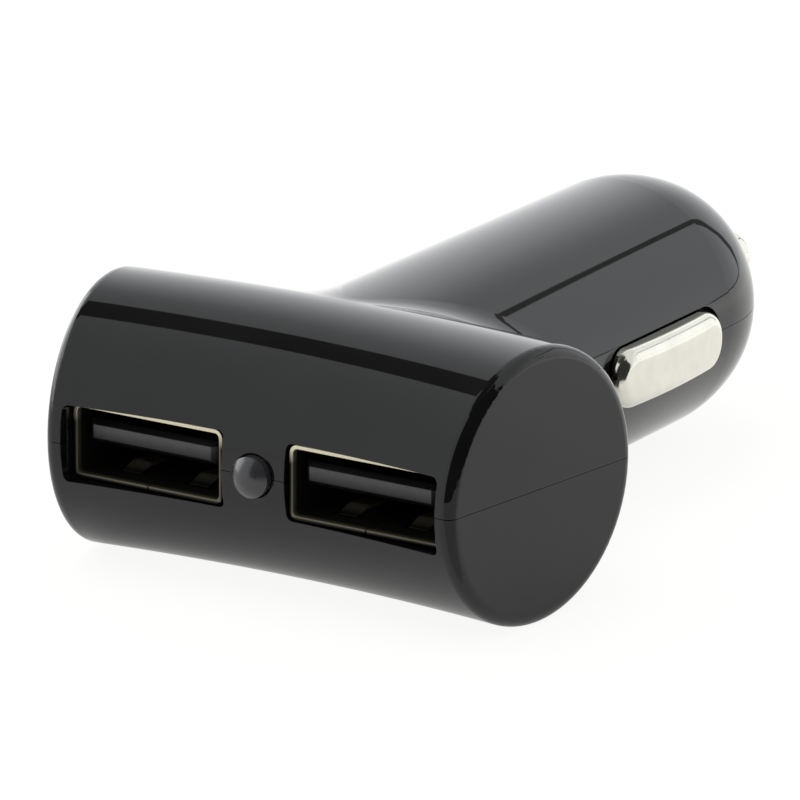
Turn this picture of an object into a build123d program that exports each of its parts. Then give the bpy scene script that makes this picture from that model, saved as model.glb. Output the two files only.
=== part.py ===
from build123d import *
import math
import os

# A car charger plug with two USB sockets, in millimetres.
# +X runs along the head, +Y along the barrel to its tip, +Z is up.
# The origin is on the barrel's axis, where the straight barrel leaves the head.

# Barrel: the size that a 12 V socket takes, with an elliptical nose
barrel_diameter = 20.87
barrel_length = 22.9
nose_length = 8.9
nose_flat_diameter = 10.54

# Head: a round bar, a step larger than the barrel all round, bent in plan so that its ends come forward
head_step = 0.235
head_length = 39.26
head_bend_radius = 133.0
head_end_rounding = 0.95
head_setback = 20.0
blend_end_margin = 0.195

# Moulded walls and the rabbet where the two halves meet
wall = 1.8
seam_gap = 0.06
lip_height = 0.8
lip_thickness = 0.8
lip_clearance = 0.05
fit_clearance = 0.05

# USB type A sockets
usb_width = 13.4
usb_height = 5.8
usb_depth = 14.0
usb_sheet = 0.3
usb_corner = 0.7
usb_pitch = 19.35
usb_recess = 0.43
usb_window_clearance = 0.2
usb_window_top_clearance = 0.05
usb_window_corner = 0.5
usb_fold_gap = 0.12
usb_finger_width = 1.7
usb_finger_length = 5.2
usb_finger_slit = 0.35
usb_finger_spacing = 6.1
usb_finger_setback = 2.4
usb_finger_bend = 0.45
usb_finger_lead_in = 1.5
tongue_width = 11.4
tongue_thickness = 1.84
tongue_top_gap = 0.97
tongue_setback = 0.55
tongue_chamfer = 0.4
insulator_block_depth = 3.4
terminal_width = 1.0
terminal_sheet = 0.25
terminal_stand_out = 0.1
terminal_setback = 1.0
terminal_inner_pitch = 2.0
terminal_outer_pitch = 7.0
terminal_foot_length = 1.1

# Indicator lamp
lamp_diameter = 3.2
lamp_dome_height = 0.7
lamp_flange_diameter = 4.0
lamp_flange_thickness = 1.0
lamp_stand_out = 1.2
lamp_hole_clearance = 0.12
lamp_lead_size = 0.5
lamp_lead_pitch = 2.0
lamp_lead_reach = 1.6

# Circuit board
board_thickness = 1.2
board_clearance = 0.4
board_rest_width = 2.0
board_rest_length = 1.6
board_corner = 1.0

# Sprung side contacts
slot_start = 3.4
slot_length = 17.6
slot_height = 5.0
slot_corner = 2.45
side_contact_clearance = 0.12
side_contact_end_gap = 0.38
side_contact_length = 16.1
side_contact_corner = 2.3
side_contact_stand_out = 1.6
side_contact_arch_radius = 70.0
side_contact_sheet = 0.5
side_contact_rounding = 1.0
side_contact_tab_overlap = 0.7
side_contact_tab_height = 2.8
side_contact_tab_sheet = 0.4
leaf_sheet = 0.3
leaf_width = 1.8
leaf_crest_length = 5.0
leaf_base_length = 14.6
leaf_end_length = 1.3
leaf_foot_length = 3.0
leaf_bend_radius = 1.5

# Sprung centre contact
tip_diameter = 4.4
tip_stand_out = 9.4
tip_rounding = 1.0
tip_hole_clearance = 0.15
tip_flange_diameter = 6.8
tip_flange_thickness = 1.0
tip_spigot_length = 2.0
coil_wire = 0.6
coil_diameter = 5.8
coil_length = 8.2
coil_turns = 6
terminal_plate_sheet = 0.4
terminal_plate_width = 6.4
terminal_plate_height = 6.0
terminal_plate_foot = 2.6
terminal_plate_boss = 1.4

# Parts on the board
part_spacing = 0.5
part_tuck = 0.75
choke_diameter = 7.2
choke_height = 5.0
choke_flange = 0.8
choke_post_diameter = 3.0
choke_winding_diameter = 6.4
input_capacitor_diameter = 6.3
input_capacitor_height = 7.0
output_capacitor_diameter = 5.0
output_capacitor_height = 5.4
output_capacitor_place = -7.2
capacitor_crimp = 0.35
fuse_diameter = 2.2
fuse_length = 5.0
fuse_cap_length = 1.2
fuse_cap_step = 0.15
diode_width = 2.6
diode_length = 4.3
diode_height = 2.0
diode_lead_width = 1.4
diode_lead_reach = 0.5
diode_lead_sheet = 0.3
chip_width = 3.9
chip_length = 4.9
chip_height = 1.5
chip_lift = 0.1
chip_leg_width = 0.42
chip_leg_sheet = 0.2
chip_leg_pitch = 1.27
chip_leg_reach = 1.05
chip_legs_a_side = 4
chip_place = -5.0
small_part_length = 2.0
small_part_width = 1.25
small_capacitor_height = 1.25
small_resistor_height = 0.55
small_part_pitch = 2.6
small_parts_in_row = 4
small_part_place = 2.5
small_part_row_spacing = 5.0

# Sizes that follow from those above
barrel_radius = barrel_diameter / 2
head_radius = barrel_radius + head_step
head_diameter = 2 * head_radius
blend_radius = head_length / 2 - barrel_radius - blend_end_margin
nose_flat_radius = nose_flat_diameter / 2
head_line = -head_setback
nose_end = barrel_length + nose_length
bend_axis = Axis((0, head_line - head_bend_radius, 0), (0, 0, 1))
usb_front = head_line - head_radius + usb_recess
usb_back = usb_front + usb_depth
usb_top = usb_height / 2
board_top = -usb_top
board_bottom = board_top - board_thickness
slot_end = slot_start + slot_length
slot_middle = slot_start + slot_length / 2
side_contact_start = slot_start + side_contact_end_gap
side_contact_end = side_contact_start + side_contact_length
side_contact_middle = side_contact_start + side_contact_length / 2
tip_flange_front = nose_end - wall - fit_clearance
tip_flange_back = tip_flange_front - tip_flange_thickness
board_end = tip_flange_back - coil_length - terminal_plate_sheet


def chord(radius, height):
    """Half the width of a circle at a height above its centre."""
    return math.sqrt(radius**2 - height**2)


def block(low, high):
    """A box between two corners."""
    centre = (Vector(*low) + Vector(*high)) * 0.5
    size = Vector(*high) - Vector(*low)
    return Pos(centre) * Box(size.X, size.Y, size.Z)


def bar_along_y(width, height, corner, front, back):
    """A bar with rounded long edges, centred on the Y axis."""
    outline = Plane.XZ.offset(-back) * RectangleRounded(width, height, corner)
    return extrude(outline, back - front)


def post(diameter, low, high, x, y):
    """An upright round post."""
    return Pos(x, y, (low + high) / 2) * Cylinder(diameter / 2, high - low)


def plug_form(inset):
    """The form of the whole plug, set in from its outer skin."""
    section_radius = head_radius - inset
    half_sweep = math.degrees((head_length / 2 - inset) / head_bend_radius)
    section = Plane(origin=(0, head_line, 0), x_dir=(0, 1, 0), z_dir=(1, 0, 0)) * Circle(section_radius)
    head = revolve(section, bend_axis, 2 * half_sweep).rotate(bend_axis, -half_sweep)
    rounding = head_end_rounding - inset
    if rounding > fit_clearance:
        rims = head.edges().filter_by(GeomType.CIRCLE).sort_by(Axis.X)
        head = fillet([rims[0], rims[-1]], rounding)
    radius = barrel_radius - inset
    length = nose_length - inset
    with BuildSketch() as profile:
        with BuildLine():
            Polyline((0, head_line), (radius, head_line), (radius, barrel_length))
            EllipticalCenterArc(
                (nose_flat_radius, barrel_length),
                radius - nose_flat_radius,
                length,
                start_angle=0,
                arc_size=90,
            )
            nose = barrel_length + length
            Polyline((nose_flat_radius, nose), (0, nose), (0, head_line))
        make_face()
    form = head + revolve(profile.sketch, Axis.Y, 360)
    curves = form.edges().filter_by(GeomType.BSPLINE)
    joins = [edge for edge in curves if abs(edge.center().X) < fit_clearance]
    return fillet(joins, blend_radius + inset)


def above(form, height):
    return split(form, Plane.XY.offset(height), Keep.TOP)


def below(form, height):
    return split(form, Plane.XY.offset(height), Keep.BOTTOM)


def shell_openings():
    """Everything that is cut through the moulded walls."""
    window = bar_along_y(
        usb_width + 2 * usb_window_clearance,
        usb_height + usb_window_clearance + usb_window_top_clearance,
        usb_window_corner,
        head_line - head_diameter,
        head_line,
    )
    drop = (usb_window_clearance - usb_window_top_clearance) / 2
    windows = [Pos(side * usb_pitch / 2, 0, -drop) * window for side in (-1, 1)]
    lamp_hole_radius = lamp_diameter / 2 + lamp_hole_clearance
    lamp_hole = extrude(Plane.XZ.offset(-head_line) * Circle(lamp_hole_radius), head_diameter)
    slot_outline = Plane.YZ * Pos(slot_middle, 0) * RectangleRounded(slot_length, slot_height, slot_corner)
    slots = extrude(slot_outline, barrel_diameter, both=True)
    tip_hole_radius = tip_diameter / 2 + tip_hole_clearance
    tip_hole = extrude(Plane.XZ.offset(-nose_end) * Circle(tip_hole_radius), 2 * wall)
    return [*windows, lamp_hole, slots, tip_hole]


def board_rests():
    """Posts on the lower shell's floor that carry the board."""
    x_head = board_head_half_width() - board_rest_width
    y_front = board_front() + 2 * board_rest_length
    y_rear = board_rear() - board_rest_length
    x_stem = board_stem_half_width() - board_rest_width
    places = [(x_head, y_front), (x_head, y_rear), (x_stem, board_end - wall)]
    rests = []
    for x, y in places:
        for side in (-1, 1):
            low = (side * x - board_rest_width / 2, y - board_rest_length / 2, -head_radius)
            high = (side * x + board_rest_width / 2, y + board_rest_length / 2, board_bottom)
            rests.append(block(low, high))
    return rests


def socket_ribs():
    """Ribs under the upper shell's roof that hold the sockets down."""
    ribs = []
    for side in (-1, 1):
        middle = side * usb_pitch / 2
        low = (middle - usb_width / 4, head_line - wall / 2, usb_top + fit_clearance)
        high = (middle + usb_width / 4, head_line + wall / 2, head_radius)
        ribs.append(block(low, high))
    return ribs


def housing():
    """The two moulded halves: the lower one's lip stands in the upper one's rabbet."""
    outside = plug_form(0)
    cavity = plug_form(wall)
    lip_form = plug_form(wall - lip_thickness)
    rabbet_form = plug_form(wall - lip_thickness - lip_clearance)
    walls = outside - cavity
    lip = below(above(lip_form - cavity, -seam_gap / 2), lip_height)
    rabbet = below(rabbet_form, lip_height + lip_clearance)
    rib_room = plug_form(wall / 2)
    lower = below(walls, -seam_gap / 2) + lip
    for rest in board_rests():
        lower += rest & rib_room
    upper = above(walls, seam_gap / 2) - rabbet
    for rib in socket_ribs():
        upper += rib & rib_room
    for opening in shell_openings():
        lower -= opening
        upper -= opening
    return upper, lower


def usb_finger():
    """A retention finger: it bows into the socket from its root and turns back at its tip."""
    crest = usb_finger_lead_in - usb_finger_length
    with BuildSketch(Plane.YZ) as outline:
        with BuildLine():
            Polyline(
                (0, 0),
                (crest, -usb_finger_bend),
                (-usb_finger_length, 0),
                (-usb_finger_length, usb_sheet),
                (crest, usb_sheet - usb_finger_bend),
                (0, usb_sheet),
                close=True,
            )
        make_face()
    return extrude(outline.sketch, usb_finger_width / 2, both=True)


def usb_shell():
    """Folded sheet shell of a socket, with its seam below and two fingers above and below."""
    outer = bar_along_y(usb_width, usb_height, usb_corner, usb_front, usb_back)
    inner_width = usb_width - 2 * usb_sheet
    inner_height = usb_height - 2 * usb_sheet
    shell = outer - bar_along_y(inner_width, inner_height, usb_corner - usb_sheet, usb_front, usb_back)
    seam_low = (-usb_fold_gap / 2, usb_front, -usb_top)
    seam_high = (usb_fold_gap / 2, usb_back, -usb_top + usb_sheet)
    shell -= block(seam_low, seam_high)
    root = usb_front + usb_finger_setback + usb_finger_length
    window = block(
        (-usb_finger_width / 2 - usb_finger_slit, root - usb_finger_length - usb_finger_slit, 0),
        (usb_finger_width / 2 + usb_finger_slit, root, usb_sheet),
    )
    finger = Pos(0, root, 0) * usb_finger()
    for side in (-1, 1):
        x = side * usb_finger_spacing / 2
        roof = Pos(x, 0, usb_top - usb_sheet)
        shell = shell - roof * window + roof * finger
        floor = Pos(x, 0, -usb_top + usb_sheet)
        shell = shell - floor * mirror(window, Plane.XY) + floor * mirror(finger, Plane.XY)
    return shell


def usb_terminals():
    """Four contact strips under the tongue, which turn down to the board behind the block."""
    top = tongue_bottom() + terminal_sheet - terminal_stand_out
    bottom = top - terminal_sheet
    front = usb_front + tongue_setback + terminal_setback
    tail = usb_back + terminal_sheet + fit_clearance
    strips = []
    for pitch in (terminal_inner_pitch, terminal_outer_pitch):
        for side in (-1, 1):
            left = side * pitch / 2 - terminal_width / 2
            right = left + terminal_width
            strip = block((left, front, bottom), (right, tail, top))
            strip += block((left, tail - terminal_sheet, board_top), (right, tail, top))
            foot_end = (right, tail + terminal_foot_length, board_top + terminal_sheet)
            strip += block((left, tail, board_top), foot_end)
            strips.append(strip)
    return strips


def tongue_bottom():
    return usb_top - usb_sheet - tongue_top_gap - tongue_thickness


def usb_insulator(terminals):
    """Rear block and tongue of a socket, moulded round the contact strips."""
    inner_width = usb_width - 2 * usb_sheet
    inner_height = usb_height - 2 * usb_sheet
    rear = bar_along_y(
        inner_width - 2 * fit_clearance,
        inner_height - 2 * fit_clearance,
        usb_corner - usb_sheet,
        usb_back - insulator_block_depth,
        usb_back,
    )
    tongue = block(
        (-tongue_width / 2, usb_front + tongue_setback, tongue_bottom()),
        (tongue_width / 2, usb_back - insulator_block_depth, tongue_bottom() + tongue_thickness),
    )
    nose_edges = tongue.faces().sort_by(Axis.Y)[0].edges()
    moulding = rear + chamfer(nose_edges, tongue_chamfer)
    for strip in terminals:
        moulding -= strip
    return moulding


def indicator_lamp():
    """Round-nosed lamp whose flange seats behind the front wall."""
    radius = lamp_diameter / 2
    flange_radius = lamp_flange_diameter / 2
    apex = head_line - head_radius - lamp_stand_out
    shoulder = apex + lamp_dome_height
    dome_radius = (radius**2 + lamp_dome_height**2) / (2 * lamp_dome_height)
    seat = lamp_seat()
    with BuildSketch() as profile:
        with BuildLine():
            RadiusArc((0, apex), (radius, shoulder), -dome_radius)
            Polyline(
                (radius, shoulder),
                (radius, seat),
                (flange_radius, seat),
                (flange_radius, seat + lamp_flange_thickness),
                (0, seat + lamp_flange_thickness),
                (0, apex),
            )
        make_face()
    return revolve(profile.sketch, Axis.Y, 360)


def lamp_seat():
    """Front of the lamp's flange, against the inside of the front wall."""
    return head_line - chord(head_radius - wall, lamp_flange_diameter / 2) + fit_clearance


def lamp_leads():
    """Two square leads from the lamp's back, bent down to the board."""
    start = lamp_seat() + lamp_flange_thickness
    half = lamp_lead_size / 2
    leads = []
    for side in (-1, 1):
        x = side * lamp_lead_pitch / 2
        lead = block((x - half, start, -half), (x + half, start + lamp_lead_reach, half))
        down_start = start + lamp_lead_reach - lamp_lead_size
        lead += block((x - half, down_start, board_top), (x + half, start + lamp_lead_reach, half))
        leads.append(lead)
    return leads


def board_front():
    return head_line - chord(head_radius - wall, board_bottom) + board_clearance


def board_rear():
    """Rear edge of the board's head, clear of the bent rear wall at its ends."""
    reach = chord(head_radius - wall, board_bottom)
    half_sweep = (head_length / 2 - wall) / head_bend_radius
    return head_line - head_bend_radius + (head_bend_radius + reach) * math.cos(half_sweep) - board_clearance


def board_head_half_width():
    half_sweep = (head_length / 2 - wall) / head_bend_radius
    front_radius = head_bend_radius + board_front() - head_line
    return front_radius * math.sin(half_sweep) - board_clearance


def board_stem_half_width():
    return chord(barrel_radius - wall, board_bottom) - board_clearance


def circuit_board():
    """T-shaped board: its head carries the sockets and its stem the converter."""
    head_half = board_head_half_width()
    stem_half = board_stem_half_width()
    with BuildSketch(Plane.XY.offset(board_bottom)) as outline:
        with BuildLine():
            Polyline(
                (-head_half, board_front()),
                (head_half, board_front()),
                (head_half, board_rear()),
                (stem_half, board_rear()),
                (stem_half, board_end),
                (-stem_half, board_end),
                (-stem_half, board_rear()),
                (-head_half, board_rear()),
                close=True,
            )
        make_face()
        fillet(outline.vertices(), board_corner)
    return extrude(outline.sketch, board_thickness)


def side_contact():
    """Right-hand contact: a drawn sheet cap, arched along the barrel, with end tabs behind the wall."""
    rim = side_contact_rim()
    cap = arched_pad(0, rim) - arched_pad(side_contact_sheet, rim)
    head_tab = (slot_start - side_contact_tab_overlap, side_contact_start + side_contact_sheet)
    tip_tab = (side_contact_end - side_contact_sheet, slot_end + side_contact_tab_overlap)
    for near, far in (head_tab, tip_tab):
        cap += block(
            (rim, near, -side_contact_tab_height / 2),
            (rim + side_contact_tab_sheet, far, side_contact_tab_height / 2),
        )
    return cap


def arched_pad(inset, rim):
    """The side contact's arched form, set in from its skin, standing on its rim."""
    length = side_contact_length - 2 * inset
    height = slot_height - 2 * side_contact_clearance - 2 * inset
    crown = barrel_radius + side_contact_stand_out - inset
    arch_radius = side_contact_arch_radius - inset
    outline = RectangleRounded(length, height, side_contact_corner - inset)
    arch = Pos(crown - arch_radius, side_contact_middle, 0) * Cylinder(arch_radius, slot_height)
    pad = extrude(Plane.YZ.offset(rim) * Pos(side_contact_middle, 0) * outline, crown - rim) & arch
    return fillet(pad.faces().sort_by(Axis.X)[-1].edges(), side_contact_rounding - inset)


def side_contact_rim():
    """Inner rim of a side contact, whose tabs seat behind the barrel's wall."""
    seat = chord(barrel_radius - wall, side_contact_tab_height / 2)
    return seat - fit_clearance - side_contact_tab_sheet


def contact_spring():
    """Right-hand leaf spring: a bowed strip from a foot on the board to the contact's ceiling."""
    arch_radius = side_contact_arch_radius - side_contact_sheet
    arch_drop = arch_radius - chord(arch_radius, leaf_crest_length / 2)
    ceiling = barrel_radius + side_contact_stand_out - side_contact_sheet - arch_drop
    crest = ceiling - fit_clearance - leaf_sheet / 2
    base = board_stem_half_width() - leaf_foot_inset()
    half_base = leaf_base_length / 2
    half_crest = leaf_crest_length / 2
    start = side_contact_middle - half_base - leaf_foot_length
    finish = side_contact_middle + half_base + leaf_end_length
    with BuildLine() as strip:
        FilletPolyline(
            (base, start),
            (base, side_contact_middle - half_base),
            (crest, side_contact_middle - half_crest),
            (crest, side_contact_middle + half_crest),
            (base, side_contact_middle + half_base),
            (base, finish),
            radius=leaf_bend_radius,
        )
    leaf = extrude(trace(strip.line, leaf_sheet), leaf_width / 2, both=True)
    foot = block(
        (base - leaf_sheet / 2, start, board_top),
        (base + leaf_sheet / 2, start + leaf_foot_length / 2, -leaf_width / 2),
    )
    return leaf + foot


def leaf_foot_inset():
    """How far the leaf springs stand in from the board's edges."""
    return 2 * leaf_sheet


def centre_contact():
    """Turned tip with a flange behind the nose and a spigot inside its spring."""
    radius = tip_diameter / 2
    flange_radius = tip_flange_diameter / 2
    spigot_radius = coil_diameter / 2 - coil_wire - lip_clearance
    end = nose_end + tip_stand_out
    with BuildSketch() as profile:
        with BuildLine():
            Polyline(
                (0, tip_flange_back - tip_spigot_length),
                (spigot_radius, tip_flange_back - tip_spigot_length),
                (spigot_radius, tip_flange_back),
                (flange_radius, tip_flange_back),
                (flange_radius, tip_flange_front),
                (radius, tip_flange_front),
                (radius, end - tip_rounding),
            )
            RadiusArc((radius, end - tip_rounding), (radius - tip_rounding, end), -tip_rounding)
            Polyline((radius - tip_rounding, end), (0, end), (0, tip_flange_back - tip_spigot_length))
        make_face()
    return revolve(profile.sketch, Axis.Y, 360)


def centre_contact_spring():
    """Coil spring between the terminal plate and the tip's flange."""
    mean_radius = (coil_diameter - coil_wire) / 2
    rise = coil_length - coil_wire - 2 * fit_clearance
    start = board_end + terminal_plate_sheet + coil_wire / 2 + fit_clearance
    path = Pos(0, start, 0) * Rot(-90, 0, 0) * Helix(rise / coil_turns, rise, mean_radius)
    section = Plane(origin=path @ 0, z_dir=path % 0) * Circle(coil_wire / 2)
    return sweep(section, path, is_frenet=True)


def spring_terminal():
    """Bent plate on the board's end that takes the coil spring on a boss."""
    half = terminal_plate_width / 2
    plate_top = board_top + terminal_plate_height
    plate = block((-half, board_end, board_top), (half, board_end + terminal_plate_sheet, plate_top))
    foot_start = board_end - terminal_plate_foot
    plate += block((-half, foot_start, board_top), (half, board_end, board_top + terminal_plate_sheet))
    boss_radius = coil_diameter / 2 - coil_wire - lip_clearance
    boss_start = board_end + terminal_plate_sheet + terminal_plate_boss
    return plate + extrude(Plane.XZ.offset(-boss_start) * Circle(boss_radius), terminal_plate_boss)


def input_capacitor_place():
    """Input capacitor's axis, next to the spring terminal's foot."""
    return board_end - terminal_plate_foot - part_spacing - input_capacitor_diameter / 2


def fuse_start():
    """Head end of the fuse and the diode, which tuck in beside the input capacitor."""
    return input_capacitor_place() - input_capacitor_diameter / 2 + part_tuck - fuse_length


def choke_place():
    """Choke's axis, next to the fuse and the diode."""
    return fuse_start() - part_spacing - choke_diameter / 2


def choke_core():
    """Drum core with a flange above and below its winding."""
    y = choke_place()
    top = board_top + choke_height
    core = post(choke_diameter, board_top, board_top + choke_flange, 0, y)
    core += post(choke_post_diameter, board_top, top, 0, y)
    return core + post(choke_diameter, top - choke_flange, top, 0, y)


def choke_winding():
    """Wound copper between the flanges of the core."""
    low = board_top + choke_flange
    high = board_top + choke_height - choke_flange
    winding = post(choke_winding_diameter, low, high, 0, choke_place())
    return winding - post(choke_post_diameter, low, high, 0, choke_place())


def capacitor(diameter, height, y):
    """Upright can with a crimped groove near its foot and a rounded top rim."""
    can = post(diameter, board_top, board_top + height, 0, y)
    can = fillet(can.edges().group_by(Axis.Z)[-1], capacitor_crimp)
    groove_height = board_top + 4 * capacitor_crimp
    groove = Pos(0, y, groove_height) * Torus(diameter / 2, capacitor_crimp)
    return can - groove


def input_capacitor():
    return capacitor(input_capacitor_diameter, input_capacitor_height, input_capacitor_place())


def output_capacitor():
    return capacitor(output_capacitor_diameter, output_capacitor_height, output_capacitor_place)


def board_part_offset(width):
    """Where a part of this width stands clear of the leaf spring's foot."""
    return board_stem_half_width() - leaf_foot_inset() - leaf_sheet - part_spacing - width / 2


def fuse():
    """Fuse with a plated cap at each end, lying on the board beside the converter."""
    cap_radius = fuse_diameter / 2
    with BuildSketch() as profile:
        with BuildLine():
            Polyline(
                (0, 0),
                (cap_radius, 0),
                (cap_radius, fuse_cap_length),
                (cap_radius - fuse_cap_step, fuse_cap_length),
                (cap_radius - fuse_cap_step, fuse_length - fuse_cap_length),
                (cap_radius, fuse_length - fuse_cap_length),
                (cap_radius, fuse_length),
                (0, fuse_length),
                close=True,
            )
        make_face()
    turned = revolve(profile.sketch, Axis.Y, 360)
    return Pos(-board_part_offset(fuse_diameter), fuse_start(), board_top + cap_radius) * turned


def rectifier_diode():
    """Moulded diode with a flat lead folded under each end."""
    x = board_part_offset(diode_width)
    start = fuse_start() + diode_lead_reach
    body = block(
        (x - diode_width / 2, start, board_top + diode_lead_sheet),
        (x + diode_width / 2, start + diode_length, board_top + diode_height),
    )
    for end in (start, start + diode_length):
        body += block(
            (x - diode_lead_width / 2, end - diode_lead_reach, board_top),
            (x + diode_lead_width / 2, end + diode_lead_reach, board_top + diode_lead_sheet),
        )
    return body


def converter_chip():
    """Moulded converter under the board, with a bevelled lower rim."""
    high = board_bottom - chip_lift
    body = block(
        (-chip_width / 2, chip_place - chip_length / 2, high - chip_height),
        (chip_width / 2, chip_place + chip_length / 2, high),
    )
    return chamfer(body.edges().group_by(Axis.Z)[0], chip_leg_sheet)


def converter_chip_legs():
    """Gull-wing legs from the chip's sides up to the board."""
    legs = []
    middle = board_bottom - chip_lift - chip_height / 2
    side_face = chip_width / 2
    for side in (-1, 1):
        for number in range(chip_legs_a_side):
            y = chip_place + (number - (chip_legs_a_side - 1) / 2) * chip_leg_pitch
            near = y - chip_leg_width / 2
            far = y + chip_leg_width / 2
            knee = side_face + chip_leg_reach / 2
            foot = side_face + chip_leg_reach
            leg = block((side_face, near, middle), (knee, far, middle + chip_leg_sheet))
            leg += block((knee - chip_leg_sheet, near, middle), (knee, far, board_bottom))
            sole = board_bottom - chip_leg_sheet
            leg += block((knee - chip_leg_sheet, near, sole), (foot, far, board_bottom))
            legs.append(leg if side > 0 else mirror(leg, Plane.YZ))
    return legs


def small_parts(height, side):
    """A row of small soldered parts under the board."""
    row = []
    for number in range(small_parts_in_row):
        y = small_part_place + number * small_part_pitch
        x = side * small_part_row_spacing / 2
        low = (x - small_part_length / 2, y - small_part_width / 2, board_bottom - height)
        high = (x + small_part_length / 2, y + small_part_width / 2, board_bottom)
        row.append(block(low, high))
    return row


def make_pieces():
    upper, lower = housing()
    shell = usb_shell()
    terminals = usb_terminals()
    insulator = usb_insulator(terminals)
    contact = side_contact()
    leaf = contact_spring()
    pieces = {
        "upper_shell": upper,
        "lower_shell": lower,
        "indicator_lamp": indicator_lamp(),
        "lamp_leads": Compound(lamp_leads()),
        "circuit_board": circuit_board(),
        "right_side_contact": contact,
        "left_side_contact": mirror(contact, Plane.YZ),
        "right_contact_spring": leaf,
        "left_contact_spring": mirror(leaf, Plane.YZ),
        "centre_contact": centre_contact(),
        "centre_contact_spring": centre_contact_spring(),
        "spring_terminal": spring_terminal(),
        "choke_core": choke_core(),
        "choke_winding": choke_winding(),
        "input_capacitor": input_capacitor(),
        "output_capacitor": output_capacitor(),
        "fuse": fuse(),
        "rectifier_diode": rectifier_diode(),
        "converter_chip": converter_chip(),
        "converter_chip_legs": Compound(converter_chip_legs()),
        "chip_capacitors": Compound(small_parts(small_capacitor_height, -1)),
        "chip_resistors": Compound(small_parts(small_resistor_height, 1)),
    }
    for name, side in (("left", -1), ("right", 1)):
        place = Pos(side * usb_pitch / 2, 0, 0)
        pieces[name + "_usb_shell"] = place * shell
        pieces[name + "_usb_insulator"] = place * insulator
        pieces[name + "_usb_terminals"] = place * Compound(terminals)
    return pieces


os.makedirs("parts", exist_ok=True)
for node, piece in make_pieces().items():
    export_step(piece, f"parts/{node}.step")
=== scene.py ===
import math

import bmesh
import bpy
from mathutils import Matrix, Vector


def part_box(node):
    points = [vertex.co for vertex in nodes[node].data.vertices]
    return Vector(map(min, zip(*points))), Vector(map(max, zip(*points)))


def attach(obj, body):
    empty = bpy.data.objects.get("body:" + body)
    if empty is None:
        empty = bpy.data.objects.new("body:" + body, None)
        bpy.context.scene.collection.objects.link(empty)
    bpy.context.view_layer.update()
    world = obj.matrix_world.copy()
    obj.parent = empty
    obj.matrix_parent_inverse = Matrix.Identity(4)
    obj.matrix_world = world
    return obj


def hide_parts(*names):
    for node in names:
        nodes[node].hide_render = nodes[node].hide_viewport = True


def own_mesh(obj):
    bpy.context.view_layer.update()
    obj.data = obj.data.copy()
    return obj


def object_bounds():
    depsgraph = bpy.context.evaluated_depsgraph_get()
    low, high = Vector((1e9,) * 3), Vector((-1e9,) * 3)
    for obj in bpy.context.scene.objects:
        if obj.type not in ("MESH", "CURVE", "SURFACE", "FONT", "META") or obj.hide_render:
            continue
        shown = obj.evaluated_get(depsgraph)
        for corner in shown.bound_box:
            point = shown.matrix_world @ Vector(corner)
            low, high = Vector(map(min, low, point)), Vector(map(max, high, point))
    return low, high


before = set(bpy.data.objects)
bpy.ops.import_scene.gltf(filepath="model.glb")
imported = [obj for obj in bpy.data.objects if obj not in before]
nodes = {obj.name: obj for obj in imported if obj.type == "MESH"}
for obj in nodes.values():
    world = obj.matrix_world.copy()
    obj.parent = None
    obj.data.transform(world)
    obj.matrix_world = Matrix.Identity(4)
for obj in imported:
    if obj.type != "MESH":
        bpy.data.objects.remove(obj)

cad_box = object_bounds()
mm = 0.001


# Building materials

noise_span = (0.3, 0.7)      # most of a noise value lies between these
tone_span = (0.35, 0.65)
bevel_samples = 6


def add_node(tree, kind, inputs=(), **settings):
    """Adds a node; an input is a plain value or the socket that feeds it."""
    made = tree.nodes.new(kind)
    for name, value in settings.items():
        setattr(made, name, value)
    for name, value in dict(inputs).items():
        if isinstance(value, bpy.types.NodeSocket):
            tree.links.new(value, made.inputs[name])
        else:
            made.inputs[name].default_value = value
    return made


def start_material(name, **settings):
    """A material with one Principled shader; settings are its plain values."""
    material = bpy.data.materials.new(name)
    material.use_nodes = True
    tree = material.node_tree
    tree.nodes.clear()
    shader = add_node(tree, "ShaderNodeBsdfPrincipled", settings)
    output = add_node(tree, "ShaderNodeOutputMaterial")
    tree.links.new(shader.outputs["BSDF"], output.inputs["Surface"])
    return material, tree, shader


def grain(tree, size, stretch=(1, 1, 1), detail=3.0):
    """Noise of a given grain size in metres, on the piece's own coordinates, drawn out along
    an axis by stretch."""
    place = add_node(tree, "ShaderNodeTexCoord").outputs["Object"]
    scale = [1 / (size * s) for s in stretch]
    place = add_node(tree, "ShaderNodeMapping", {"Vector": place, "Scale": scale}).outputs["Vector"]
    noise = add_node(tree, "ShaderNodeTexNoise", {"Vector": place, "Scale": 1.0, "Detail": detail})
    return noise.outputs["Fac"]


def ramp(tree, value, start, end, low=0.0, high=1.0):
    """Goes from low to high as a value goes from start to end."""
    spread = {"Value": value, "From Min": start, "From Max": end, "To Min": low, "To Max": high}
    return add_node(tree, "ShaderNodeMapRange", spread).outputs["Result"]


def between(tree, fac, low, high):
    """Spreads a noise value over a range."""
    return ramp(tree, fac, *noise_span, low, high)


def two_tone(tree, fac, first, second):
    """Blends two colours by a noise value."""
    tones = add_node(tree, "ShaderNodeValToRGB", {"Fac": fac})
    for element, position, colour in zip(tones.color_ramp.elements, tone_span, (first, second)):
        element.position = position
        element.color = (*colour, 1)
    return tones.outputs["Color"]


def blend(tree, fac, first, second):
    """Goes from one colour to another by a value; each is a plain colour or a socket."""
    first, second = [c if isinstance(c, bpy.types.NodeSocket) else (*c, 1) for c in (first, second)]
    mix = add_node(tree, "ShaderNodeMix", {0: fac, 6: first, 7: second}, data_type="RGBA")
    return mix.outputs[2]


def along(tree, axis):
    """One of the piece's own coordinates."""
    place = add_node(tree, "ShaderNodeTexCoord").outputs["Object"]
    return add_node(tree, "ShaderNodeSeparateXYZ", {0: place}).outputs[axis]


def reckon(tree, operation, first, second=0.0):
    """One step of arithmetic."""
    return add_node(tree, "ShaderNodeMath", {0: first, 1: second}, operation=operation).outputs[0]


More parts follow.
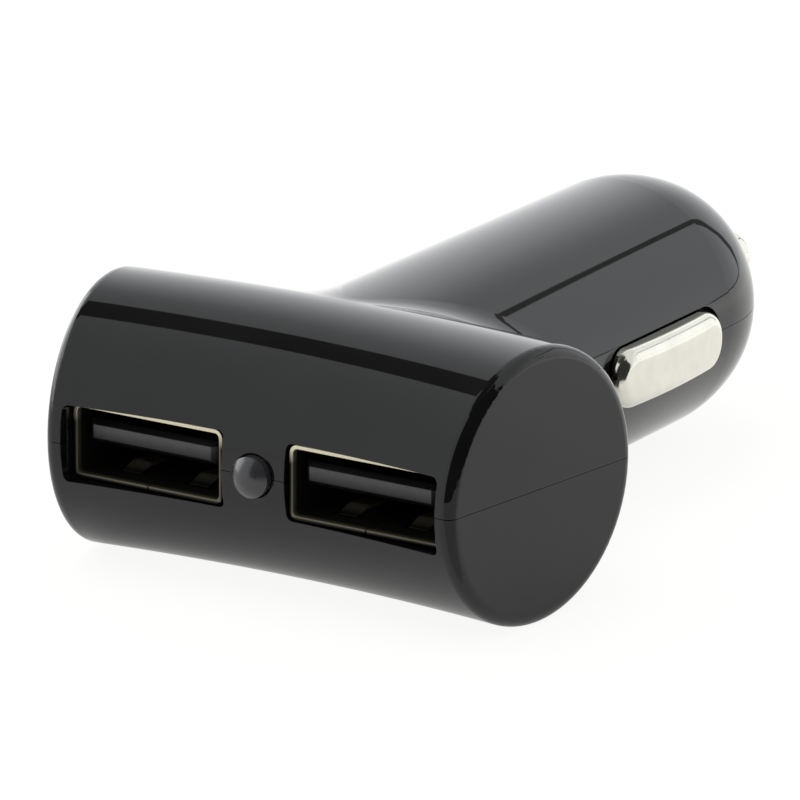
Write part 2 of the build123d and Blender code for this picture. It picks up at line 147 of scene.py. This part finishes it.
def relief(tree, shader, height, depth, edge):
    """Bumps a surface by a noise value, with its sharp edges eased by a small radius."""
    eased = add_node(tree, "ShaderNodeBevel", {"Radius": edge}, samples=bevel_samples).outputs["Normal"]
    bump = add_node(tree, "ShaderNodeBump",
                    {"Height": height, "Strength": 1.0, "Distance": depth, "Normal": eased})
    tree.links.new(bump.outputs["Normal"], shader.inputs["Normal"])


def dress(material, *names):
    """Gives CAD nodes their material."""
    for name in names:
        data = nodes[name].data
        data.materials.clear()
        data.materials.append(material)


# Finishes of this charger

def polished_black_moulding():
    """Piano black moulding: near-black resin, a polished skin with a trace of flow in it."""
    material, tree, shader = start_material("polished black moulding", IOR=1.46)
    tint = two_tone(tree, grain(tree, 6 * mm), (0.0042, 0.0042, 0.0046), (0.0060, 0.0060, 0.0066))
    tree.links.new(tint, shader.inputs["Base Color"])
    tree.links.new(between(tree, grain(tree, 1.5 * mm), 0.025, 0.05), shader.inputs["Roughness"])
    relief(tree, shader, grain(tree, 5 * mm, detail=1.0), 0.002 * mm, edge=0.08 * mm)
    return material


def bright_nickel():
    """Nickel plate over pressed or turned metal."""
    material, tree, shader = start_material("bright nickel plate", Metallic=1.0)
    tint = two_tone(tree, grain(tree, 2 * mm), (0.70, 0.685, 0.61), (0.75, 0.735, 0.66))
    tree.links.new(tint, shader.inputs["Base Color"])
    tree.links.new(between(tree, grain(tree, 0.4 * mm), 0.10, 0.16), shader.inputs["Roughness"])
    relief(tree, shader, grain(tree, 0.6 * mm), 0.0008 * mm, edge=0.08 * mm)
    return material


def socket_plate():
    """Warm nickel on rolled sheet, with light and shade painted on: bright on the upper rim, low down
    only on its inner edge, painted dark inside, and a painted lighter patch on the fingers."""
    socket_middle, half_width, floor = 9.675 * mm, 6.4 * mm, -2.6 * mm
    rim_front, rim_back = -30.2 * mm, -29.6 * mm
    bright_above, shaded_below = 2.6 * mm, 1.4 * mm
    edge_inner, edge_outer = 0.10 * mm, 0.17 * mm
    finger_low, finger_high = (-2.55 * mm, -2.3 * mm), (-1.7 * mm, -1.95 * mm)
    finger_sides = (5.0 * mm, 4.6 * mm)
    material, tree, shader = start_material("plated socket sheet")
    across, back, up = [along(tree, axis) for axis in "XYZ"]
    # Painted shade: the rim is painted darker below its bright top.
    low = ramp(tree, up, bright_above, shaded_below)
    # Painted shade inside the socket, behind the front of the rim.
    recess_shade = ramp(tree, back, rim_front, rim_back)
    beside = reckon(tree, "SUBTRACT", reckon(tree, "ABSOLUTE", across), socket_middle)
    beside = reckon(tree, "ABSOLUTE", beside)
    past_side = reckon(tree, "SUBTRACT", beside, half_width)
    past_floor = reckon(tree, "SUBTRACT", floor, up)
    # Painted shadow on the outer half of the side and lower rim.
    outer = ramp(tree, reckon(tree, "MAXIMUM", past_side, past_floor), edge_inner, edge_outer)
    painted_shade_area = reckon(tree, "MAXIMUM", recess_shade, reckon(tree, "MULTIPLY", low, outer))
    # Painted light: a lighter patch on the fingers, inside the painted dark.
    painted_light_patch = reckon(tree, "MULTIPLY", ramp(tree, up, *finger_low), ramp(tree, up, *finger_high))
    painted_light_patch = reckon(tree, "MULTIPLY", painted_light_patch, ramp(tree, beside, *finger_sides))
    lines = grain(tree, 0.08 * mm, stretch=(1, 30, 1))
    inside = blend(tree, painted_light_patch, (0.012, 0.0115, 0.010), (0.13, 0.118, 0.09))
    bright = two_tone(tree, lines, (0.64, 0.59, 0.44), (0.76, 0.70, 0.54))
    # Painted shade on the lower rim: dim on its inner edge, near black on its outer half.
    lower_rim = blend(tree, outer, (0.11, 0.098, 0.065), (0.014, 0.013, 0.010))
    rim = blend(tree, low, bright, lower_rim)
    shade = reckon(tree, "MAXIMUM", low, recess_shade)
    tree.links.new(blend(tree, recess_shade, rim, inside), shader.inputs["Base Color"])
    # Metal and specular are turned down where shade is painted.
    tree.links.new(ramp(tree, shade, 0, 1, 1.0, 0.4), shader.inputs["Metallic"])
    tree.links.new(ramp(tree, painted_shade_area, 0, 1, 0.5, 0.12), shader.inputs["Specular IOR Level"])
    tree.links.new(between(tree, lines, 0.30, 0.42), shader.inputs["Roughness"])
    relief(tree, shader, lines, 0.002 * mm, edge=0.12 * mm)
    return material


def tongue_moulding():
    """Filled black resin of the socket tongues: near black and low in gloss, with a painted highlight
    on the nose toward its upper edge."""
    light_patch_rise, light_patch_end = (-0.1 * mm, 1.0 * mm), (1.27 * mm, 1.21 * mm)
    material, tree, shader = start_material("socket tongue moulding", IOR=1.68)
    up = along(tree, "Z")
    # Painted highlight: a lighter, glossier band across the nose toward its upper edge, in the tone below.
    painted_light_patch = reckon(tree, "MULTIPLY", ramp(tree, up, *light_patch_rise), ramp(tree, up, *light_patch_end))
    highlight_tone = two_tone(tree, grain(tree, 0.5 * mm), (0.012, 0.0125, 0.0145), (0.020, 0.0205, 0.0235))
    tint = blend(tree, painted_light_patch, (0.0035, 0.0035, 0.004), highlight_tone)
    tree.links.new(tint, shader.inputs["Base Color"])
    tree.links.new(ramp(tree, painted_light_patch, 0, 1, 0.06, 0.5), shader.inputs["Specular IOR Level"])
    tree.links.new(between(tree, grain(tree, 0.15 * mm), 0.30, 0.42), shader.inputs["Roughness"])
    relief(tree, shader, grain(tree, 0.12 * mm), 0.004 * mm, edge=0.06 * mm)
    return material


def smoked_lens():
    """Smoke-tinted clear resin over a milky core."""
    coat = {"Coat Weight": 0.5, "Coat Roughness": 0.2}
    material, tree, shader = start_material("smoked lamp lens", IOR=1.5, **coat)
    clouds = grain(tree, 2.0 * mm, detail=1.0)
    tint = two_tone(tree, clouds, (0.025, 0.0255, 0.028), (0.032, 0.0325, 0.036))
    tree.links.new(tint, shader.inputs["Base Color"])
    tree.links.new(between(tree, grain(tree, 0.3 * mm), 0.22, 0.34), shader.inputs["Roughness"])
    relief(tree, shader, grain(tree, 1.0 * mm), 0.002 * mm, edge=0.06 * mm)
    return material


def one_grain_finish(name, first, second, rough, size, stretch=(1, 1, 1), **settings):
    """A finish whose colour, gloss and relief follow one grain."""
    smoother, rougher, depth_share, eased_edge = 0.8, 1.2, 0.02, 0.04 * mm
    material, tree, shader = start_material(name, **settings)
    texture = grain(tree, size, stretch)
    tree.links.new(two_tone(tree, texture, first, second), shader.inputs["Base Color"])
    tree.links.new(between(tree, texture, rough * smoother, rough * rougher), shader.inputs["Roughness"])
    relief(tree, shader, texture, size * depth_share, edge=eased_edge)
    return material


def plain_metal(name, first, second, rough, size, stretch=(1, 1, 1)):
    """A metal part of the inside."""
    return one_grain_finish(name, first, second, rough, size, stretch, Metallic=1.0)


def plain_moulding(name, first, second, rough, size):
    """A moulded, fired or laminated part of the inside."""
    return one_grain_finish(name, first, second, rough, size, IOR=1.5)


dress(polished_black_moulding(), "upper_shell", "lower_shell")
dress(bright_nickel(), "right_side_contact", "left_side_contact", "centre_contact")
dress(socket_plate(), "left_usb_shell", "right_usb_shell")
dress(tongue_moulding(), "left_usb_insulator", "right_usb_insulator")
dress(smoked_lens(), "indicator_lamp")
dress(plain_metal("plated terminals", (0.72, 0.52, 0.24), (0.82, 0.62, 0.32), 0.28, 0.15 * mm, (1, 12, 1)),
      "left_usb_terminals", "right_usb_terminals")
dress(plain_metal("tinned leads", (0.62, 0.62, 0.60), (0.76, 0.76, 0.74), 0.35, 0.2 * mm),
      "lamp_leads", "converter_chip_legs", "spring_terminal")
spring_steel = plain_metal("spring steel", (0.48, 0.48, 0.48), (0.60, 0.60, 0.60), 0.25, 0.1 * mm, (1, 10, 1))
dress(spring_steel, "right_contact_spring", "left_contact_spring", "centre_contact_spring")
dress(plain_metal("enamelled copper", (0.50, 0.20, 0.09), (0.66, 0.30, 0.14), 0.25, 0.2 * mm),
      "choke_winding")
dress(plain_metal("drawn aluminium can", (0.68, 0.68, 0.69), (0.80, 0.80, 0.81), 0.30, 0.1 * mm, (1, 1, 15)),
      "input_capacitor", "output_capacitor")
dress(plain_moulding("board solder mask", (0.020, 0.110, 0.050), (0.028, 0.140, 0.066), 0.35, 0.3 * mm),
      "circuit_board")
dress(plain_moulding("sintered ferrite", (0.050, 0.050, 0.052), (0.075, 0.075, 0.078), 0.55, 0.1 * mm),
      "choke_core")
dress(plain_moulding("glazed fuse tube", (0.70, 0.69, 0.64), (0.76, 0.75, 0.70), 0.20, 0.5 * mm),
      "fuse")
dress(plain_moulding("matt package resin", (0.016, 0.016, 0.017), (0.026, 0.026, 0.028), 0.55, 0.08 * mm),
      "rectifier_diode", "converter_chip", "chip_resistors")
dress(plain_moulding("fired ceramic", (0.30, 0.21, 0.13), (0.38, 0.28, 0.18), 0.40, 0.1 * mm),
      "chip_capacitors")


# Springs behind the contacts

def sprung_piece(name, data, node):
    """A spring that stands for its CAD node."""
    piece = bpy.data.objects.new(name, data)
    bpy.context.scene.collection.objects.link(piece)
    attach(piece, "housing")
    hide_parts(node)
    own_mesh(piece)


def rounded_path(corners, radius, steps=6):
    """Points along a line whose inner corners are bent to a radius."""
    path = [corners[0]]
    for before, corner, after in zip(corners, corners[1:], corners[2:]):
        back, ahead = (before - corner).normalized(), (after - corner).normalized()
        half = back.angle(ahead) / 2
        reach = radius / math.tan(half)
        centre = corner + (back + ahead).normalized() * radius / math.sin(half)
        first, last = corner + back * reach - centre, corner + ahead * reach - centre
        path += [centre + first.lerp(last, step / steps).normalized() * radius
                 for step in range(steps + 1)]
    return path + [corners[-1]]


def leaf_spring(side):
    """Bowed strip behind a side contact, with its foot on the board; side is 1 on the right and
    -1 on the left. It is sunk a little, to stay clear of the contact's rim at full push."""
    name = "right" if side > 0 else "left"
    low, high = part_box("right_contact_spring")
    half_sheet, half_width, bend, sunk = 0.1 * mm, 0.9 * mm, 1.5 * mm, 0.18 * mm
    foot, rise, crown = 3.0 * mm, 4.8 * mm, 5.0 * mm
    base, crest = low.x + half_sheet - sunk, high.x - half_sheet
    crown_start = low.y + foot + rise
    crown_end = crown_start + crown
    corners = [Vector(corner) for corner in ((base, low.y), (base, low.y + foot), (crest, crown_start),
                                             (crest, crown_end), (base, crown_end + rise), (base, high.y))]
    path = rounded_path(corners, bend)
    mesh = bmesh.new()
    rings = []
    for index, point in enumerate(path):
        run = (path[min(index + 1, len(path) - 1)] - path[max(index - 1, 0)]).normalized()
        out = Vector((-run.y, run.x)) * half_sheet
        edge = [(point + out, half_width), (point - out, half_width),
                (point - out, -half_width), (point + out, -half_width)]
        rings.append([mesh.verts.new((side * place.x, place.y, height)) for place, height in edge])
    foot_section = [(base - half_sheet, -half_width), (base + half_sheet, -half_width),
                    (base + half_sheet, low.z), (base - half_sheet, low.z)]
    foot_rings = [[mesh.verts.new((side * across, y, z)) for across, z in foot_section]
                  for y in (low.y, low.y + foot / 2)]
    for chain in (rings, foot_rings):
        for one, two in zip(chain, chain[1:]):
            for corner in range(4):
                mesh.faces.new((one[corner], one[corner - 1], two[corner - 1], two[corner]))
        mesh.faces.new(chain[0])
        mesh.faces.new(chain[-1][::-1])
    bmesh.ops.recalc_face_normals(mesh, faces=mesh.faces)
    data = bpy.data.meshes.new(name + "_leaf_spring")
    mesh.to_mesh(data)
    mesh.free()
    data.materials.append(spring_steel)
    sprung_piece(name + "_leaf_spring", data, name + "_contact_spring")


def coil_winding():
    """A node tree that winds a round wire into a coil along Y."""
    steps_a_turn, wire_sides = 40, 12
    tree = bpy.data.node_groups.new("coil winding", "GeometryNodeTree")
    for name in ("Turns", "Coil Radius", "Wire Radius", "Length", "Seat"):
        tree.interface.new_socket(name=name, in_out="INPUT", socket_type="NodeSocketFloat")
    tree.interface.new_socket(name="Geometry", in_out="OUTPUT", socket_type="NodeSocketGeometry")
    sizes = add_node(tree, "NodeGroupInput").outputs
    line = add_node(tree, "GeometryNodeCurveSpiral",
                    {"Resolution": steps_a_turn, "Rotations": sizes["Turns"], "Height": sizes["Length"],
                     "Start Radius": sizes["Coil Radius"], "End Radius": sizes["Coil Radius"]})
    place = add_node(tree, "ShaderNodeCombineXYZ", {"Y": sizes["Seat"]})
    line = add_node(tree, "GeometryNodeTransform",
                    {"Geometry": line.outputs[0], "Translation": place.outputs[0],
                     "Rotation": (-math.pi / 2, 0, 0)})
    section = add_node(tree, "GeometryNodeCurvePrimitiveCircle",
                       {"Resolution": wire_sides, "Radius": sizes["Wire Radius"]})
    wire = add_node(tree, "GeometryNodeCurveToMesh",
                    {"Curve": line.outputs[0], "Profile Curve": section.outputs[0], "Fill Caps": True})
    smooth = add_node(tree, "GeometryNodeSetShadeSmooth", {0: wire.outputs[0]})
    real = add_node(tree, "GeometryNodeRealizeInstances", {0: smooth.outputs[0]})
    steel = add_node(tree, "GeometryNodeSetMaterial",
                     {"Geometry": real.outputs[0], "Material": spring_steel})
    add_node(tree, "NodeGroupOutput", {0: steel.outputs[0]})
    return tree


def coil_spring():
    """Coil spring between the terminal plate and the tip's flange."""
    low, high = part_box("centre_contact_spring")
    wire, turns = 0.3 * mm, 6.0
    sizes = {"Turns": turns, "Coil Radius": high.x - wire, "Wire Radius": wire,
             "Length": high.y - low.y - 2 * wire, "Seat": low.y + wire}
    blank = bpy.data.objects.new("coil blank", bpy.data.meshes.new("coil blank"))
    bpy.context.scene.collection.objects.link(blank)
    winding = blank.modifiers.new("coil winding", "NODES")
    winding.node_group = coil_winding()
    for socket in winding.node_group.interface.items_tree:
        if socket.in_out == "INPUT":
            winding[socket.identifier] = sizes[socket.name]
    shaped = blank.evaluated_get(bpy.context.evaluated_depsgraph_get())
    data = bpy.data.meshes.new_from_object(shaped)
    bpy.data.objects.remove(blank)
    data.name = "tip_coil_spring"
    sprung_piece("tip_coil_spring", data, "centre_contact_spring")


for side in (1, -1):
    leaf_spring(side)
coil_spring()


# Studio: pale floor, white surround, and the cards that the polished skin mirrors

def seen_directly(tree):
    """1 for what the camera, a polished surface or a clear one sees, and 0 for light that falls
    on the charger; and the light path it comes from."""
    path = add_node(tree, "ShaderNodeLightPath").outputs
    seen = reckon(tree, "MAXIMUM", path["Is Camera Ray"], path["Is Glossy Ray"])
    return reckon(tree, "MAXIMUM", seen, path["Is Transmission Ray"]), path


def add_sheet(name, points, faces, material):
    """A stage sheet from its points and faces."""
    data = bpy.data.meshes.new(name)
    data.from_pydata(points, [], faces)
    data.materials.append(material)
    made = bpy.data.objects.new(name, data)
    bpy.context.scene.collection.objects.link(made)
    return made


def floor_sheet():
    """Pale floor: white to the camera with a light shadow; a polished surface sees it glow more
    and more toward the back."""
    half_size, gap_below = 1.2, 0.02 * mm
    camera_share, camera_level = 0.85, 1.08
    share_start, share_end, share_low, share_high = 0.005, 0.035, 0.47, 0.95
    level_start, level_end, level_low, level_high = 0.05, 0.12, 1.08, 1.5
    material, tree, shader = start_material("pale floor", Roughness=0.9, **{"Specular IOR Level": 0.0})
    tint = two_tone(tree, grain(tree, 200 * mm), (0.93, 0.93, 0.925), (0.94, 0.94, 0.935))
    tree.links.new(tint, shader.inputs["Base Color"])
    seen, path = seen_directly(tree)
    by_camera, back = path["Is Camera Ray"], along(tree, "Y")
    share = ramp(tree, back, share_start, share_end, share_low, share_high)
    share = reckon(tree, "MULTIPLY", seen, ramp(tree, by_camera, 0, 1, share, camera_share))
    level = ramp(tree, back, level_start, level_end, level_low, level_high)
    level = ramp(tree, by_camera, 0, 1, level, camera_level)
    glow = add_node(tree, "ShaderNodeEmission", {"Color": (1.0, 1.0, 0.985, 1), "Strength": level})
    mix = add_node(tree, "ShaderNodeMixShader", {0: share, 1: shader.outputs[0], 2: glow.outputs[0]})
    tree.links.new(mix.outputs[0], tree.nodes["Material Output"].inputs["Surface"])
    ground = cad_box[0].z - gap_below
    corners = [(x * half_size, y * half_size, ground) for x, y in ((-1, -1), (1, -1), (1, 1), (-1, 1))]
    add_sheet("floor", corners, [(0, 1, 2, 3)], material)


def mirrored_card(name, points, faces, level):
    """A card of a given brightness that only polished surfaces see."""
    unlit = {"Base Color": (0, 0, 0, 1), "Specular IOR Level": 0.0}
    lit = {"Emission Color": (1, 1, 1, 1), "Emission Strength": level}
    material = start_material(name, **unlit, **lit)[0]
    card = add_sheet(name, points, faces, material)
    card.visible_camera = False
    card.visible_diffuse = False
    card.visible_shadow = False


def rounded_loop(left, right, low, high, radius, steps=8):
    """Points round a rectangle with rounded corners."""
    centres = ((right - radius, high - radius), (left + radius, high - radius),
               (left + radius, low + radius), (right - radius, low + radius))
    loop = []
    for quarter, (across, up) in enumerate(centres):
        for step in range(steps + 1):
            angle = (quarter + step / steps) * math.pi / 2
            loop.append((across + radius * math.cos(angle), up + radius * math.sin(angle)))
    return loop


def window_frame(bearing, away, half_width, low, high, radius, top_bar, left_bar, thin_bar, level):
    """The grey frame of the lit window behind the charger, whose outline the barrel mirrors."""
    outer = rounded_loop(-half_width, half_width, low, high, radius)
    inner = rounded_loop(left_bar - half_width, half_width - thin_bar, low + thin_bar, high - top_bar,
                         radius - left_bar)
    turn = math.radians(bearing)
    ahead = Vector((math.sin(turn), math.cos(turn), 0))
    across = Vector((math.cos(turn), -math.sin(turn), 0))
    points = [tuple(ahead * away + across * u + Vector((0, 0, z))) for u, z in outer + inner]
    count = len(outer)
    faces = [(i, (i + 1) % count, count + (i + 1) % count, count + i) for i in range(count)]
    mirrored_card("window frame", points, faces, level)


def front_opening(name, first, last, profile, level, lowered=0.0, steps=12):
    """A card swept round the right end of the head, between two bearings; the profile gives its
    distances and its heights over the floor, of which the lowered share is gone at the last."""
    middle = Vector((cad_box[1].x, cad_box[0].y, cad_box[0].z))
    points = []
    for step in range(steps + 1):
        bearing = math.radians(first + (last - first) * step / steps)
        ahead = Vector((math.sin(bearing), -math.cos(bearing), 0))
        left = 1 - lowered * step / steps
        points += [tuple(middle + ahead * away + Vector((0, 0, height * left)))
                   for away, height in profile]
    bends = len(profile)
    faces = [(bends * s + i, bends * s + i + 1, bends * s + bends + i + 1, bends * s + bends + i)
             for s in range(steps) for i in range(bends - 1)]
    mirrored_card(name, points, faces, level)


def roof_opening(across, back, height, radius, level, steps=32):
    """The dark round opening above the charger."""
    turns = [2 * math.pi * step / steps for step in range(steps)]
    points = [(across + radius * math.cos(turn), back + radius * math.sin(turn), height) for turn in turns]
    mirrored_card("roof opening", points, [tuple(range(steps))], level)


def white_surround():
    """White all round: a plain fill on the charger, and what it mirrors grows brighter toward
    two patches at the back."""
    fill_level, mirrored_level = 0.55, 0.95
    patches = ((-35, 8, 0.70, 0.55), (30, 10, 0.72, 0.42))  # bearing, rise, where it starts, gain
    world = bpy.data.worlds.new("white surround")
    bpy.context.scene.world = world
    world.use_nodes = True
    tree = world.node_tree
    tree.nodes.clear()
    fill = add_node(tree, "ShaderNodeBackground", {"Color": (1, 1, 1, 1), "Strength": fill_level})
    toward = add_node(tree, "ShaderNodeTexCoord").outputs["Object"]
    level = mirrored_level
    for bearing, rise, start, gain in patches:
        turn, lift = math.radians(bearing), math.radians(rise)
        aim = (math.sin(turn) * math.cos(lift), math.cos(turn) * math.cos(lift), math.sin(lift))
        facing = add_node(tree, "ShaderNodeVectorMath", {0: toward, 1: aim}, operation="DOT_PRODUCT")
        glow = add_node(tree, "ShaderNodeMapRange",
                        {"Value": facing.outputs["Value"], "From Min": start, "From Max": 1.0, "To Max": gain},
                        interpolation_type="SMOOTHSTEP").outputs["Result"]
        level = reckon(tree, "ADD", level, glow)
    mirrored = add_node(tree, "ShaderNodeBackground", {"Color": (0.965, 0.985, 1.0, 1), "Strength": level})
    plain = add_node(tree, "ShaderNodeBackground", {"Color": (1, 1, 1, 1), "Strength": 1.0})
    seen, path = seen_directly(tree)
    mix = add_node(tree, "ShaderNodeMixShader", {0: seen, 1: fill.outputs[0], 2: mirrored.outputs[0]})
    mix = add_node(tree, "ShaderNodeMixShader",
                   {0: path["Is Camera Ray"], 1: mix.outputs[0], 2: plain.outputs[0]})
    output = add_node(tree, "ShaderNodeOutputWorld")
    tree.links.new(mix.outputs[0], output.inputs["Surface"])


def soft_lamp(name, place, width, height, power):
    """A soft lamp aimed at the charger, which polished surfaces don't show."""
    data = bpy.data.lights.new(name, "AREA")
    data.shape = "RECTANGLE"
    data.size = width
    data.size_y = height
    data.energy = power
    lamp = bpy.data.objects.new(name, data)
    bpy.context.scene.collection.objects.link(lamp)
    lamp.location = place
    lamp.rotation_mode = "QUATERNION"
    lamp.rotation_quaternion = (-Vector(place)).to_track_quat("-Z", "Y")
    lamp.visible_glossy = False
    lamp.visible_camera = False


def photo_camera():
    """The photo's own camera: a long lens, a little above and to the right of the head."""
    place = (0.272736, -0.445510, 0.159421)
    right = Vector((0.84673, 0.53200, 0.00431))
    up = Vector((-0.16064, 0.24793, 0.95537))
    data = bpy.data.cameras.new("camera")
    data.sensor_width = 36.0
    data.lens = 316.47
    data.clip_start = 0.01
    camera = bpy.data.objects.new("camera", data)
    bpy.context.scene.collection.objects.link(camera)
    turn = Matrix((right, up, right.cross(up))).transposed().to_4x4()
    camera.matrix_world = Matrix.Translation(place) @ turn
    bpy.context.scene.camera = camera


floor_sheet()
white_surround()
soft_lamp("overhead lamp", (-0.25, -0.2, 0.85), width=0.8, height=0.8, power=2.4)
soft_lamp("back lamp", (-0.55, 0.85, 0.30), width=1.3, height=0.6, power=4.0)
roof_gap = [(-0.95, -0.046, 0.6), (-0.12, -0.046, 0.6), (-0.12, 0.135, 0.6), (-0.95, 0.135, 0.6)]
mirrored_card("roof gap", roof_gap, [(0, 1, 2, 3)], level=0.11)
left_panel = [(-0.6, -0.4, 0.0), (-0.6, 0.35, 0.0), (-0.6, 0.35, 0.5), (-0.6, -0.4, 0.5)]
mirrored_card("left panel", left_panel, [(0, 1, 2, 3)], level=3.0)
window_frame(bearing=30, away=1.0, half_width=0.405, low=-0.012, high=0.68, radius=0.16,
             top_bar=0.055, left_bar=0.085, thin_bar=0.012, level=0.25)
front_opening("front opening", -12, 92, ((0.105, 0), (0.5, 0), (0.5, 0.6), (0.2, 0.6)), level=0.03)
front_opening("side opening", 92, 117, ((0.07, 0), (0.5, 0), (0.5, 0.5)), level=0.03, lowered=1.0)
# A dimmer sheet on the floor that only polished surfaces see: painted shade on the mirrored floor in front of
# and right of the head.
front_opening("front floor shade", -10, 108, ((0.0, -0.01 * mm), (0.5, -0.01 * mm)), level=0.62)
roof_opening(across=-0.03, back=-0.15, height=0.61, radius=0.22, level=0.05)
photo_camera()
bpy.context.scene.view_settings.view_transform = "Standard"
